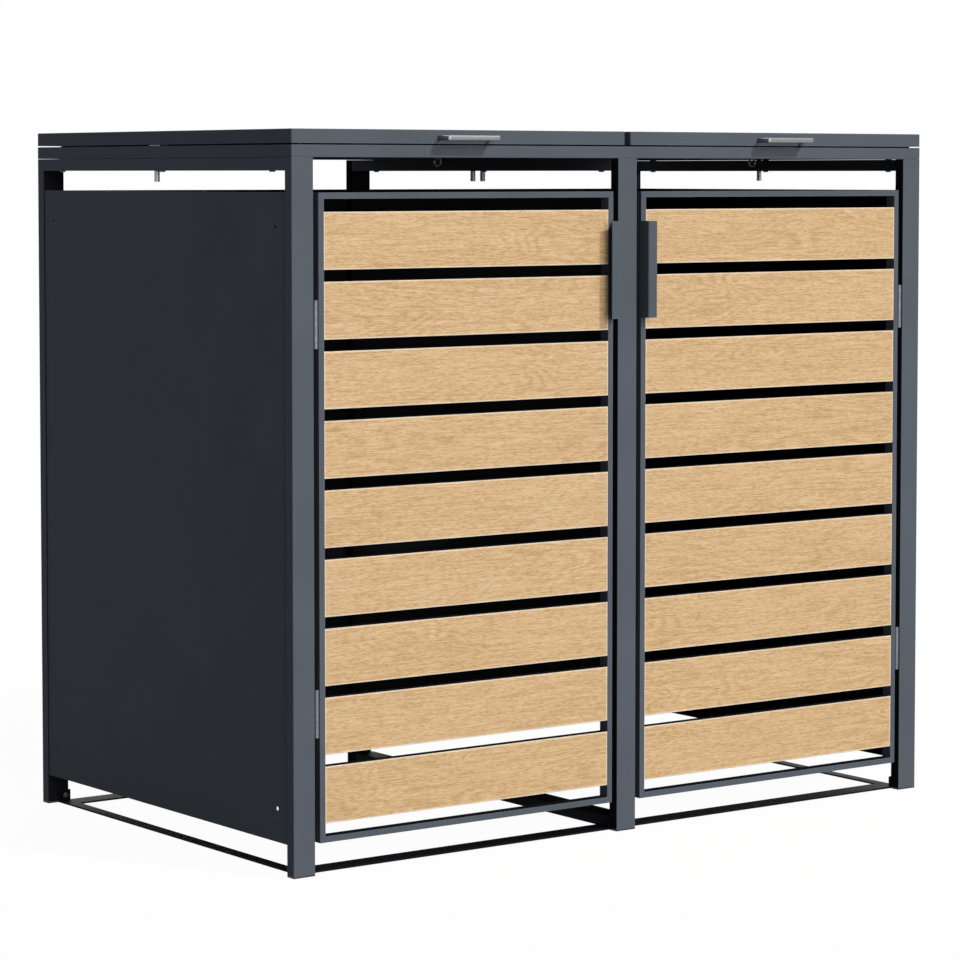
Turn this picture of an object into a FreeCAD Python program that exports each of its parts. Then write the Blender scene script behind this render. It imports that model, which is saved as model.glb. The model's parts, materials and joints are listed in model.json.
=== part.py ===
import FreeCAD, Part
import Sketcher
import os

from FreeCAD import Rotation, Vector

# Double wheelie bin store: a frame of six steel posts, two doors and two lids.
# The origin lies on the floor, midway between the left and right sides and midway
# between the front of the lid pulls and the back of the lid hinges.
# X runs along the front, Y from the front to the back, and Z upwards.

SIZES = {
    # Whole store
    "overall_width": 1320.0,
    "overall_depth": 800.0,
    "overall_height": 1162.0,
    # Posts and their plastic feet
    "post_width": 40.0,
    "post_depth": 20.0,
    "tube_wall": 1.5,
    "tube_radius": 1.5,
    "foot_thickness": 3.0,
    "foot_plug": 6.0,
    "plug_clearance": 0.2,
    # Rails under the lids
    "rail_width": 20.0,
    "rail_height": 20.0,
    "rail_seam": 0.5,
    # Floor frame of flat bar
    "bar_thickness": 3.0,
    "bar_wide": 38.0,
    "bar_narrow": 20.0,
    "bar_inset": 20.0,
    "ear_width": 22.0,
    "ear_height": 21.0,
    "floor_rail_height": 20.0,
    "floor_rail_gap": 3.0,
    # Wall panels of folded sheet and the brackets that hold them
    "panel_sheet": 1.2,
    "panel_flange": 15.0,
    "panel_inset": 2.0,
    "panel_fit": 0.5,
    "vent_gap": 33.5,
    "floor_gap": 50.0,
    "bracket_sheet": 2.0,
    "bracket_height": 24.0,
    "bracket_reach": 42.0,
    "bracket_depth": 17.0,
    "weld_reach": 22.0,
    "fixing_inset": 30.0,
    "fixing_end": 53.0,
    "link_hole": 3.4,
    # Pan head screws
    "screw_radius": 2.5,
    "screw_hole": 2.7,
    "screw_head": 4.5,
    "screw_head_height": 2.0,
    "screw_length": 8.0,
    # Bolts that join the upper frame to the lower rails
    "bolt_radius": 3.0,
    "bolt_hole": 3.2,
    "bolt_head": 4.8,
    "bolt_head_height": 2.0,
    "bolt_length": 32.0,
    "bolt_end": 70.0,
    "nut_radius": 4.5,
    "nut_flange": 6.0,
    "nut_length": 14.0,
    # Doors
    "door_gap": 9.5,
    "door_inset": 0.5,
    "door_tube_width": 10.0,
    "door_tube_depth": 20.0,
    "door_wall": 1.2,
    "door_radius": 0.8,
    "drain_radius": 3.0,
    "drain_inset": 60.0,
    # Slats of folded sheet
    "slat_end_space": 20.0,
    "slat_gap": 18.0,
    "slat_depth": 17.0,
    "slat_sheet": 1.0,
    "slat_lip": 10.0,
    "slat_inset": 0.5,
    "slat_end_gap": 0.3,
    "slat_radius": 0.9,
    # Door pulls, bent from flat strip
    "pull_height": 160.0,
    "pull_drop": 49.0,
    "pull_reach": 20.0,
    "pull_flange": 17.5,
    "pull_sheet": 2.0,
    "pull_radius": 2.5,
    # Door hinges
    "hinge_height": 75.0,
    "hinge_inset": 204.0,
    "knuckle_radius": 4.0,
    "pin_radius": 2.0,
    "pin_clearance": 0.06,
    "knuckle_gap": 0.3,
    "leaf_sheet": 1.5,
    "leaf_reach": 16.0,
    "leaf_relief": 1.0,
    "door_pivot_depth": 3.0,
    # Magnetic catches
    "catch_height": 40.0,
    "catch_drop": 60.0,
    "catch_depth": 12.0,
    "catch_gap": 0.3,
    "catch_foot": 15.0,
    "magnet_thickness": 2.0,
    # Lids
    "lid_height": 22.0,
    "lid_gap": 2.0,
    "lid_spacing": 12.0,
    "lid_sheet": 1.2,
    "lid_radius": 2.0,
    "lid_hinge_length": 100.0,
    "lid_hinge_inset": 50.0,
    "lid_pivot_offset": 4.4,
    "strip_width": 8.0,
    "strip_inset": 25.0,
    "lid_pull_width": 103.0,
    "lid_pull_reach": 30.0,
    "lid_pull_grip": 12.0,
    "lid_pull_leg": 5.0,
    "lid_pull_thickness": 8.0,
    "lid_pull_radius": 4.0,
    "lid_pull_edge": 2.0,
    "lid_pull_lift": 5.0,
    "eye_setback": 73.0,
    "eye_drop": 49.0,
    "eye_ring": 6.5,
    "eye_wire": 1.5,
    "eye_stem": 2.5,
    "eye_flange": 8.0,
    "eye_flange_thickness": 2.0,
    # Gas struts
    "strut_inset": 12.0,
    "strut_lift": 11.5,
    "strut_offset": 18.0,
    "strut_setback": 100.0,
    "strut_radius": 7.0,
    "strut_bore": 5.6,
    "strut_body": 165.0,
    "strut_guide": 8.0,
    "strut_end": 6.0,
    "strut_stem": 3.0,
    "rod_radius": 3.0,
    "rod_clearance": 0.05,
    "piston_radius": 5.4,
    "piston_length": 12.0,
    "piston_rest": 15.0,
    "joint_radius": 6.0,
    "joint_width": 8.0,
    "joint_pin": 3.0,
    "anchor_sheet": 1.5,
    "anchor_length": 34.0,
    "anchor_width": 14.0,
    "anchor_gap": 0.3,
    "stud_radius": 4.5,
    "stud_hole": 4.7,
    "stud_drop": 18.0,
    "stud_inset": 10.5,
    "stub_length": 2.0,
    "ear_plate": 2.0,
    "ear_plate_length": 22.0,
}

SLAT_COUNT = 9
MAX_NODES = 60
TOUCHING = 1e-4
PARALLEL = 1e-6

# Heights and faces that many pieces share, as formulas of the sizes above
HALF_WIDTH = "overall_width / 2"
HALF_DEPTH = "overall_depth / 2"
BAY_START = "post_width / 2"
LID_BASE = "(overall_height - lid_height)"
FRAME_TOP = f"({LID_BASE} - lid_gap)"
FRAME_BASE = f"({FRAME_TOP} - rail_height)"
POST_TOP = f"({FRAME_BASE} - rail_seam)"
RAIL_BASE = f"({POST_TOP} - rail_height)"
DOOR_TOP = f"({RAIL_BASE} - vent_gap)"
DOOR_HEIGHT = f"({DOOR_TOP} - floor_gap)"
BAY_WIDTH = "(overall_width / 2 - post_width * 3 / 2)"
DOOR_WIDTH = f"({BAY_WIDTH} - 2 * door_gap)"
DOOR_FRONT = f"(0 - {HALF_DEPTH} + door_inset)"
INSIDE_DEPTH = "(overall_depth - 2 * post_depth)"
LID_WIDTH = "((overall_width - lid_spacing) / 2)"
LID_PIVOT_Y = f"({HALF_DEPTH} + lid_pivot_offset)"
LID_PIVOT_Z = f"({FRAME_TOP} + lid_gap / 2)"
STRUT_Z = f"({FRAME_TOP} + strut_lift)"
STRUT_FRONT_Y = "strut_offset"
STRUT_BACK_Y = f"({HALF_DEPTH} - strut_setback)"
CENTRE_SHIFT = "(lid_pull_reach - lid_pivot_offset - knuckle_radius) / 2"
DOOR_PIVOT_X = f"({BAY_START} + {BAY_WIDTH} - door_gap / 2)"
DOOR_PIVOT_Y = f"(0 - {HALF_DEPTH} + door_pivot_depth)"

SIDES = {"left": -1, "right": 1}
ROWS = {"front": -1, "back": 1}
ALONG = {"x": Vector(1, 0, 0), "y": Vector(0, 1, 0), "z": Vector(0, 0, 1)}
MARGIN = "1"

doc = FreeCAD.newDocument("bin_store")
nodes = {}


# Helpers


def make_sheet():
    sheet = doc.addObject("Spreadsheet::Sheet", "Sizes")
    for row, (alias, size) in enumerate(SIZES.items(), start=1):
        sheet.set(f"A{row}", alias)
        sheet.set(f"B{row}", str(size))
        sheet.setAlias(f"B{row}", alias)
    doc.recompute()


def linked(formula):
    """Point each size in a formula to its cell in the sheet."""
    for mark in "()+-*/":
        formula = formula.replace(mark, f" {mark} ")
    words = [f"Sizes.{word}" if word in SIZES else word for word in formula.split()]
    return " ".join(words)


def bind(item, prop, formula):
    item.setExpression(prop, linked(str(formula)))


def place(item, at):
    """Place an item whose position is counted from the middle of the posts' footprint."""
    x, y, z = at
    bind(item, "Placement.Base.x", x)
    bind(item, "Placement.Base.y", f"{y} + {CENTRE_SHIFT}")
    bind(item, "Placement.Base.z", z)


def keep(name, item):
    item.Label = name
    nodes[name] = item
    return item


def fresh(kind):
    return doc.addObject(kind, kind.split(":")[-1])


def box(size, at):
    item = fresh("Part::Box")
    for prop, formula in zip(("Length", "Width", "Height"), size):
        bind(item, prop, formula)
    place(item, at)
    return item


def rod(radius, length, at, axis="z"):
    item = fresh("Part::Cylinder")
    item.Placement.Rotation = Rotation(ALONG["z"], ALONG[axis])
    bind(item, "Radius", radius)
    bind(item, "Height", length)
    place(item, at)
    return item


def joined(*items):
    item = fresh("Part::MultiFuse")
    item.Shapes = list(items)
    item.Refine = True
    return item


def group(items):
    item = fresh("Part::Compound")
    item.Links = list(items)
    return item


def cut(base, *tools):
    item = fresh("Part::Cut")
    item.Base = base
    item.Tool = tools[0] if len(tools) == 1 else group(tools)
    return item


def mirrored(side, offset, width="0"):
    """Start of a span that lies beyond an offset, on the side given by its sign."""
    return f"({offset})" if side > 0 else f"(0 - ({offset}) - ({width}))"


def add_outline(sketch, points):
    """Closed outline whose corners are formulas, measured from the sketch's origin."""
    first = sketch.GeometryCount
    count = len(points)
    starts = [Vector(10.0 + 7.0 * i, 5.0 + 3.0 * i * (count - i), 0) for i in range(count)]
    for i in range(count):
        sketch.addGeometry(Part.LineSegment(starts[i], starts[(i + 1) % count]), False)
    for i in range(count):
        following = first + (i + 1) % count
        sketch.addConstraint(Sketcher.Constraint("Coincident", first + i, 2, following, 1))
    for i, corner in enumerate(points):
        for kind, axis, formula, start in (
            ("DistanceX", -2, corner[0], starts[i].x),
            ("DistanceY", -1, corner[1], starts[i].y),
        ):
            if formula == "0":
                rule = Sketcher.Constraint("PointOnObject", first + i, 1, axis)
                sketch.addConstraint(rule)
            else:
                rule = Sketcher.Constraint(kind, -1, 1, first + i, 1, start)
                index = sketch.addConstraint(rule)
                bind(sketch, f"Constraints[{index}]", formula)


def rectangle(width, height, inset="0"):
    near = inset
    far_x = width if inset == "0" else f"({width}) - ({inset})"
    far_y = height if inset == "0" else f"({height}) - ({inset})"
    return [(near, near), (far_x, near), (far_x, far_y), (near, far_y)]


def extrusion(name, axis, outlines, length, at):
    """Body with outlines square to an axis, padded along it."""
    body = doc.addObject("PartDesign::Body", name)
    sketch = body.newObject("Sketcher::SketchObject", name + "_outline")
    role = {"x": "YZ_Plane", "y": "XZ_Plane", "z": "XY_Plane"}[axis]
    plane = next(item for item in body.Origin.OriginFeatures if item.Role == role)
    sketch.AttachmentSupport = [(plane, "")]
    sketch.MapMode = "FlatFace"
    for outline in outlines:
        add_outline(sketch, outline)
    pad = body.newObject("PartDesign::Pad", name + "_pad")
    pad.Profile = sketch
    pad.Reversed = axis == "y"
    bind(pad, "Length", length)
    sketch.Visibility = False
    place(body, at)
    return body


def on_limits(edge, limits, axis):
    """True for an edge along an axis that lies on the outermost corners."""
    tangent = edge.tangentAt(edge.FirstParameter)
    if abs(abs(tangent.dot(ALONG[axis])) - 1) > PARALLEL:
        return False
    point = edge.CenterOfMass
    for other in set("xyz") - {axis}:
        low = getattr(limits, other.upper() + "Min")
        high = getattr(limits, other.upper() + "Max")
        value = getattr(point, other)
        if min(abs(value - low), abs(value - high)) > TOUCHING:
            return False
    return True


def fillet_edges(body, radius, chosen):
    """Fillet the edges of a body that a test picks out."""
    doc.recompute()
    base = body.Tip
    limits = base.Shape.BoundBox
    names = [
        f"Edge{number}"
        for number, edge in enumerate(base.Shape.Edges, start=1)
        if chosen(edge, limits)
    ]
    fillet = body.newObject("PartDesign::Fillet", base.Name + "_fillet")
    fillet.Base = (base, names)
    bind(fillet, "Radius", radius)
    body.Tip = fillet
    return body


def round_edges(body, radius, axes):
    """Fillet a body's outermost edges that run along the given axes."""
    return fillet_edges(
        body, radius, lambda edge, limits: any(on_limits(edge, limits, axis) for axis in axes)
    )


def tube(name, axis, width, height, length, at):
    """Rectangular steel tube along an axis, open at both ends."""
    outlines = [rectangle(width, height), rectangle(width, height, "tube_wall")]
    body = extrusion(name, axis, outlines, length, at)
    return round_edges(body, "tube_radius", axis)


# Posts and feet

EAR_SCREW_Z = "(ear_height + bar_thickness) / 2"


def ear_centres(side):
    """Places along X where a post's floor ears are screwed on."""
    if side == 0:
        return ["0 - ear_width / 2", "ear_width / 2"]
    start = f"{HALF_WIDTH} - bar_inset - ear_width / 2"
    return [mirrored(side, start)]


def post_start(side):
    if side == 0:
        return "0 - post_width / 2"
    return mirrored(side, f"{HALF_WIDTH} - post_width", "post_width")


def make_posts():
    """Six posts with their feet. Those in front reach up to the upper frame and carry it."""
    columns = {"left": -1, "middle": 0, "right": 1}
    tops = {"front": FRAME_BASE, "back": POST_TOP}
    feet = []
    for row_name, row in ROWS.items():
        for column_name, side in columns.items():
            name = f"post_{row_name}_{column_name}"
            start_y = mirrored(row, f"{HALF_DEPTH} - post_depth", "post_depth")
            at = (post_start(side), start_y, "foot_thickness")
            length = f"{tops[row_name]} - foot_thickness"
            body = tube(name + "_tube", "z", "post_width", "post_depth", length, at)
            depth = f"tube_wall + {MARGIN}"
            hole_y = mirrored(row, f"{HALF_DEPTH} - post_depth - {MARGIN} / 2", depth)
            holes = [rod("screw_hole", depth, (x, hole_y, EAR_SCREW_Z), "y") for x in ear_centres(side)]
            keep(name, cut(body, *holes))
            feet.append(make_foot(name + "_foot", post_start(side), start_y))
    keep("post_feet", group(feet))


def make_foot(name, start_x, start_y):
    """Plastic end plug: a flat head under the post and a plug inside its tube."""
    outline = rectangle("post_width", "post_depth")
    head = extrusion(name, "z", [outline], "foot_thickness", (start_x, start_y, "0"))
    round_edges(head, "tube_radius", "z")
    inset = "(tube_wall + plug_clearance)"
    plug = box(
        (f"post_width - 2 * {inset}", f"post_depth - 2 * {inset}", "foot_plug"),
        (f"{start_x} + {inset}", f"{start_y} + {inset}", "foot_thickness"),
    )
    return joined(head, plug)


# Rails and the upper frame


def bolt_places():
    """Centres of the bolts that join the upper frame to the three lower rails."""
    end = f"{HALF_DEPTH} - bolt_end"
    for x in (f"0 - {HALF_WIDTH} + rail_width / 2", "0", f"{HALF_WIDTH} - rail_width / 2"):
        for y in (f"0 - ({end})", "0", end):
            yield x, y


def strut_planes():
    """Side of each strut's lid, the strut's centre and its stud's centre along X."""
    outer = (f"{HALF_WIDTH} - strut_inset", f"{HALF_WIDTH} - stud_inset")
    inner = ("lid_spacing / 2 + strut_inset", "stud_inset")
    for side in SIDES.values():
        for centre, stud in (outer, inner):
            yield side, mirrored(side, centre), mirrored(side, stud)


def drill_rails(base):
    """Holes through a rail for the bolts and the strut studs."""
    reach = f"{FRAME_TOP} - {RAIL_BASE} + {MARGIN}"
    below = f"{RAIL_BASE} - {MARGIN} / 2"
    studs = [rod("stud_hole", reach, (stud, STRUT_FRONT_Y, below)) for _, _, stud in strut_planes()]
    shanks = [
        rod("bolt_hole", f"{POST_TOP} - {RAIL_BASE} + {MARGIN}", (x, y, below))
        for x, y in bolt_places()
    ]
    inserts = [
        rod("nut_radius", f"tube_wall + {MARGIN}", (x, y, f"{FRAME_BASE} - {MARGIN} / 2"))
        for x, y in bolt_places()
    ]
    return cut(base, *studs, *shanks, *inserts)


def make_lower_rails():
    start_y = f"0 - {HALF_DEPTH} + post_depth"
    places = {
        "left": (f"0 - {HALF_WIDTH}", "rail_width"),
        "centre": ("0 - post_width / 2", "post_width"),
        "right": (f"{HALF_WIDTH} - rail_width", "rail_width"),
    }
    for where, (start_x, width) in places.items():
        name = f"lower_rail_{where}"
        at = (start_x, start_y, RAIL_BASE)
        body = tube(name + "_tube", "y", width, "rail_height", INSIDE_DEPTH, at)
        keep(name, drill_rails(body))


def bay_block(inset, base, height):
    """Pair of blocks the size of the frame's two openings, drawn in by an inset."""
    width = f"{HALF_WIDTH} - {BAY_START} - rail_width - 2 * ({inset})"
    depth = f"overall_depth - 2 * rail_width - 2 * ({inset})"
    return [
        box(
            (width, depth, height),
            (mirrored(side, f"{BAY_START} + ({inset})", width), f"0 - ({depth}) / 2", base),
        )
        for side in SIDES.values()
    ]


def make_upper_frame():
    """Welded ring of square tube with a middle bar, hollow all round."""
    ring = extrusion(
        "upper_frame_ring",
        "z",
        [rectangle("overall_width", "overall_depth")],
        "rail_height",
        (f"0 - {HALF_WIDTH}", f"0 - {HALF_DEPTH}", FRAME_BASE),
    )
    round_edges(ring, "tube_radius", "xyz")
    openings = bay_block("0", f"{FRAME_BASE} - {MARGIN}", f"rail_height + 2 * {MARGIN}")
    hollow_height = "rail_height - 2 * tube_wall"
    hollow_base = f"{FRAME_BASE} + tube_wall"
    hollow = box(
        ("overall_width - 2 * tube_wall", "overall_depth - 2 * tube_wall", hollow_height),
        (f"0 - {HALF_WIDTH} + tube_wall", f"0 - {HALF_DEPTH} + tube_wall", hollow_base),
    )
    core_base = f"{hollow_base} - {MARGIN}"
    cores = bay_block("0 - tube_wall", core_base, f"{hollow_height} + 2 * {MARGIN}")
    channel = cut(hollow, *cores)
    keep("upper_frame", drill_rails(cut(cut(ring, *openings), channel)))


def make_frame_bolts():
    """Button head bolts from below, each in a flanged rivet nut that spaces the frame."""
    pieces = []
    for x, y in bolt_places():
        head = rod("bolt_head", "bolt_head_height", (x, y, f"{RAIL_BASE} - bolt_head_height"))
        shank = rod("bolt_radius", "bolt_length", (x, y, RAIL_BASE))
        pieces.append(joined(head, shank))
        flange = rod("nut_flange", "rail_seam", (x, y, POST_TOP))
        sleeve = rod("nut_radius", "nut_length", (x, y, FRAME_BASE))
        bore_length = f"rail_seam + nut_length + {MARGIN}"
        bore = rod("bolt_hole", bore_length, (x, y, f"{POST_TOP} - {MARGIN} / 2"))
        pieces.append(cut(joined(flange, sleeve), bore))
    keep("frame_bolts", group(pieces))


# Floor frame


def make_floor_frame():
    """Flat bar ring with upright ears at the posts, and the middle rail on top of it."""
    pieces = []
    outer = f"({HALF_WIDTH} - bar_inset)"
    inside = f"({HALF_DEPTH} - post_depth)"
    for row in ROWS.values():
        start_y = mirrored(row, f"{inside} - bar_wide", "bar_wide")
        bar = (f"2 * {outer}", "bar_wide", "bar_thickness")
        pieces.append(box(bar, (f"0 - {outer}", start_y, "0")))
        ear_y = mirrored(row, f"{inside} - bar_thickness", "bar_thickness")
        ears = [("0 - ear_width", "2 * ear_width")]
        for side in SIDES.values():
            ears.append((mirrored(side, f"{outer} - ear_width", "ear_width"), "ear_width"))
        for start_x, width in ears:
            pieces.append(box((width, "bar_thickness", "ear_height"), (start_x, ear_y, "0")))
    for side in SIDES.values():
        start_x = mirrored(side, f"{outer} - bar_narrow", "bar_narrow")
        bar = ("bar_narrow", f"2 * {inside}", "bar_thickness")
        pieces.append(box(bar, (start_x, f"0 - {inside}", "0")))
    rail_length = f"(2 * ({inside} - bar_thickness - floor_rail_gap))"
    pieces.append(
        tube(
            "floor_rail_tube",
            "y",
            "post_width",
            "floor_rail_height",
            rail_length,
            ("0 - post_width / 2", f"0 - {rail_length} / 2", "bar_thickness"),
        )
    )
    holes = []
    for row in ROWS.values():
        depth = f"bar_thickness + {MARGIN}"
        hole_y = mirrored(row, f"{inside} - bar_thickness - {MARGIN} / 2", depth)
        for side in (-1, 0, 1):
            for x in ear_centres(side):
                holes.append(rod("screw_hole", depth, (x, hole_y, EAR_SCREW_Z), "y"))
    keep("floor_frame", cut(joined(*pieces), *holes))


# Wall panels and their fixings


def folded_sheet(name, axis, facing, length, at):
    """Upright sheet with a flange folded in along its top and bottom edges.

    The sheet lies at the low end of the other level axis where facing is -1.
    """
    flange = "panel_flange"
    sheet = "panel_sheet"
    height = DOOR_HEIGHT
    if facing < 0:
        outline = [
            ("0", "0"), (flange, "0"), (flange, sheet), (sheet, sheet),
            (sheet, f"{height} - {sheet}"), (flange, f"{height} - {sheet}"),
            (flange, height), ("0", height),
        ]
    else:
        outline = [
            ("0", "0"), (flange, "0"), (flange, height), ("0", height),
            ("0", f"{height} - {sheet}"), (f"{flange} - {sheet}", f"{height} - {sheet}"),
            (f"{flange} - {sheet}", sheet), ("0", sheet),
        ]
    return extrusion(name, axis, [outline], length, at)


def fixing_heights():
    return ["floor_gap + fixing_end", f"{DOOR_TOP} - fixing_end"]


def side_fixings():
    """Centres of a side panel's open holes, with the row that each bracket stands in.

    A second store is bolted on through these holes.
    """
    for row in ROWS.values():
        for z in fixing_heights():
            yield row, mirrored(row, f"{HALF_DEPTH} - post_depth - fixing_inset"), z


def back_fixings(side):
    """Screw centres on a back panel: at its outer post and at the middle post."""
    near = f"{BAY_START} + fixing_inset"
    far = f"{BAY_START} + {BAY_WIDTH} - fixing_inset"
    for outer, x in ((True, far), (False, near)):
        for z in fixing_heights():
            yield outer, mirrored(side, x), z


def make_panels():
    inside = f"({HALF_DEPTH} - post_depth)"
    for where, side in SIDES.items():
        start_x = mirrored(side, f"{HALF_WIDTH} - panel_inset - panel_flange", "panel_flange")
        sheet = folded_sheet(
            f"side_panel_{where}_sheet", "y", side, f"2 * ({inside} - panel_fit)",
            (start_x, f"0 - {inside} + panel_fit", "floor_gap"),
        )
        depth = f"panel_sheet + 2 * {MARGIN}"
        hole_x = mirrored(side, f"{HALF_WIDTH} - panel_inset - panel_sheet - {MARGIN}", depth)
        holes = [rod("link_hole", depth, (hole_x, y, z), "x") for _, y, z in side_fixings()]
        keep(f"side_panel_{where}", cut(sheet, *holes))

        width = f"({BAY_WIDTH} - 2 * panel_fit)"
        sheet = folded_sheet(
            f"back_panel_{where}_sheet", "x", 1, width,
            (mirrored(side, f"{BAY_START} + panel_fit", width),
             f"{HALF_DEPTH} - panel_inset - panel_flange", "floor_gap"),
        )
        hole_y = f"{HALF_DEPTH} - panel_inset - panel_sheet - {MARGIN}"
        holes = [rod("screw_hole", depth, (x, hole_y, z), "y") for _, x, z in back_fixings(side)]
        keep(f"back_panel_{where}", cut(sheet, *holes))


def make_panel_brackets():
    """L brackets between posts and panels, welded to the sides and screwed to the backs."""
    pieces = []
    plate = "bracket_sheet"
    skin = "(panel_inset + panel_sheet)"
    for side in SIDES.values():
        for row, _, z in side_fixings():
            base = f"{z} - bracket_height / 2"
            behind = mirrored(side, f"{HALF_WIDTH} - {skin} - {plate}", plate)
            leg_y = mirrored(row, f"{HALF_DEPTH} - post_depth - weld_reach", "weld_reach")
            leg = box((plate, "weld_reach", "bracket_height"), (behind, leg_y, base))
            foot_x = mirrored(side, f"{HALF_WIDTH} - {skin} - bracket_depth", "bracket_depth")
            foot_y = mirrored(row, f"{HALF_DEPTH} - post_depth - {plate}", plate)
            foot = box(("bracket_depth", plate, "bracket_height"), (foot_x, foot_y, base))
            pieces.append(joined(leg, foot))
        for outer, x, z in back_fixings(side):
            base = f"{z} - bracket_height / 2"
            behind = f"{HALF_DEPTH} - {skin} - {plate}"
            if outer:
                leg_x = mirrored(side, f"{BAY_START} + {BAY_WIDTH} - bracket_reach", "bracket_reach")
                foot_x = mirrored(side, f"{BAY_START} + {BAY_WIDTH} - {plate}", plate)
            else:
                leg_x = mirrored(side, BAY_START, "bracket_reach")
                foot_x = mirrored(side, BAY_START, plate)
            leg = box(("bracket_reach", plate, "bracket_height"), (leg_x, behind, base))
            foot_y = f"{HALF_DEPTH} - {skin} - bracket_depth"
            foot = box((plate, "bracket_depth", "bracket_height"), (foot_x, foot_y, base))
            start = f"{HALF_DEPTH} - {skin} - {plate} - {MARGIN}"
            hole = rod("screw_hole", f"{plate} + 2 * {MARGIN}", (x, start, z), "y")
            pieces.append(cut(joined(leg, foot), hole))
    keep("panel_brackets", group(pieces))


def screw(sense, seat, x, z):
    """Pan head screw along Y: its head lies on a seat and its shank points along the sense."""
    head_start = seat if sense < 0 else f"{seat} - screw_head_height"
    shank_start = f"{seat} - screw_length" if sense < 0 else seat
    head = rod("screw_head", "screw_head_height", (x, head_start, z), "y")
    shank = rod("screw_radius", "screw_length", (x, shank_start, z), "y")
    return joined(head, shank)


def make_screws():
    pieces = []
    for side in SIDES.values():
        for _, x, z in back_fixings(side):
            pieces.append(screw(-1, f"{HALF_DEPTH} - panel_inset", x, z))
    for row in ROWS.values():
        seat = mirrored(row, f"{HALF_DEPTH} - post_depth - bar_thickness")
        for side in (-1, 0, 1):
            for x in ear_centres(side):
                pieces.append(screw(row, seat, x, EAR_SCREW_Z))
    keep("pan_head_screws", group(pieces))


# Doors


def door_start(side):
    return mirrored(side, f"{BAY_START} + door_gap", DOOR_WIDTH)


def make_door_frame(where, side):
    """Welded frame of flat-sided tube, hollow, with two drain holes below."""
    start = door_start(side)
    name = f"door_frame_{where}"
    outline = rectangle(DOOR_WIDTH, DOOR_HEIGHT)
    at = (start, DOOR_FRONT, "floor_gap")
    block = extrusion(name + "_block", "y", [outline], "door_tube_depth", at)
    round_edges(block, "door_radius", "xyz")

    def inner_block(inset, depth_inset):
        margin = f"door_tube_width - ({inset})"
        size = (
            f"{DOOR_WIDTH} - 2 * ({margin})",
            f"door_tube_depth - 2 * ({depth_inset})",
            f"{DOOR_HEIGHT} - 2 * ({margin})",
        )
        place_at = (f"{start} + {margin}", f"{DOOR_FRONT} + ({depth_inset})", f"floor_gap + {margin}")
        return box(size, place_at)

    opening = inner_block("0", f"0 - {MARGIN}")
    hollow = inner_block("door_tube_width - door_wall", "door_wall")
    core = inner_block("door_wall", "0")
    channel = cut(hollow, core)
    drains = [
        rod(
            "drain_radius",
            f"door_wall + {MARGIN}",
            (x, f"{DOOR_FRONT} + door_tube_depth / 2", f"floor_gap - {MARGIN} / 2"),
        )
        for x in (f"{start} + drain_inset", f"{start} + {DOOR_WIDTH} - drain_inset")
    ]
    keep(name, cut(cut(cut(block, opening), channel), *drains))


def make_slats(where, side):
    """Nine folded channels with a closed front and lips at the back."""
    length = f"({DOOR_WIDTH} - 2 * door_tube_width - 2 * slat_end_gap)"
    start_x = f"{door_start(side)} + door_tube_width + slat_end_gap"
    start_y = f"{DOOR_FRONT} + slat_inset"
    spaces = f"(2 * (door_tube_width + slat_end_space) + {SLAT_COUNT - 1} * slat_gap)"
    tall = f"(({DOOR_HEIGHT} - {spaces}) / {SLAT_COUNT})"
    top = f"({DOOR_TOP} - door_tube_width - slat_end_space)"
    deep = "slat_depth"
    sheet = "slat_sheet"
    outline = [
        ("0", "0"), (deep, "0"), (deep, "slat_lip"), (f"{deep} - {sheet}", "slat_lip"),
        (f"{deep} - {sheet}", sheet), (sheet, sheet), (sheet, f"{tall} - {sheet}"),
        (f"{deep} - {sheet}", f"{tall} - {sheet}"), (f"{deep} - {sheet}", f"{tall} - slat_lip"),
        (deep, f"{tall} - slat_lip"), (deep, tall), ("0", tall),
    ]
    for number in range(1, SLAT_COUNT + 1):
        name = f"slat_{where}_{number}"
        base = f"{top} - {number} * {tall} - {number - 1} * slat_gap"
        body = extrusion(name, "x", [outline], length, (start_x, start_y, base))
        keep(name, round_edges(body, "slat_radius", "x"))


def make_door_pull(where, side):
    """L strip: one leg stands off the door's free edge, the other turns over the door."""
    leg = "pull_reach"
    flange = "pull_flange"
    sheet = "pull_sheet"
    # The free edge lies towards the middle post, and the flange points away from it
    if side > 0:
        outline = [
            ("0", "0"), (flange, "0"), (flange, sheet),
            (sheet, sheet), (sheet, leg), ("0", leg),
        ]
        start_x = f"{BAY_START} + door_gap"
    else:
        outline = [
            ("0", "0"), (flange, "0"), (flange, leg), (f"{flange} - {sheet}", leg),
            (f"{flange} - {sheet}", sheet), ("0", sheet),
        ]
        start_x = f"0 - {BAY_START} - door_gap - {flange}"
    name = f"door_pull_{where}"
    at = (start_x, f"{DOOR_FRONT} - {leg}", f"{DOOR_TOP} - pull_drop - pull_height")
    strip = extrusion(name, "z", [outline], "pull_height", at)

    def is_bend(edge, limits):
        bend_x = limits.XMin if side > 0 else limits.XMax
        on_front = abs(edge.CenterOfMass.y - limits.YMin) < TOUCHING
        return on_limits(edge, limits, "z") and on_front and abs(edge.CenterOfMass.x - bend_x) < TOUCHING

    keep(name, fillet_edges(strip, "pull_radius", is_bend))


# Hinges


def knuckle_spans(start, length, middle):
    """Start and length of a hinge barrel's middle third, or of its two end thirds."""
    third = f"(({length}) - 2 * knuckle_gap) / 3"
    if middle:
        return [(f"{start} + {third} + knuckle_gap", third)]
    return [(start, third), (f"{start} + 2 * ({third} + knuckle_gap)", third)]


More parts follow.
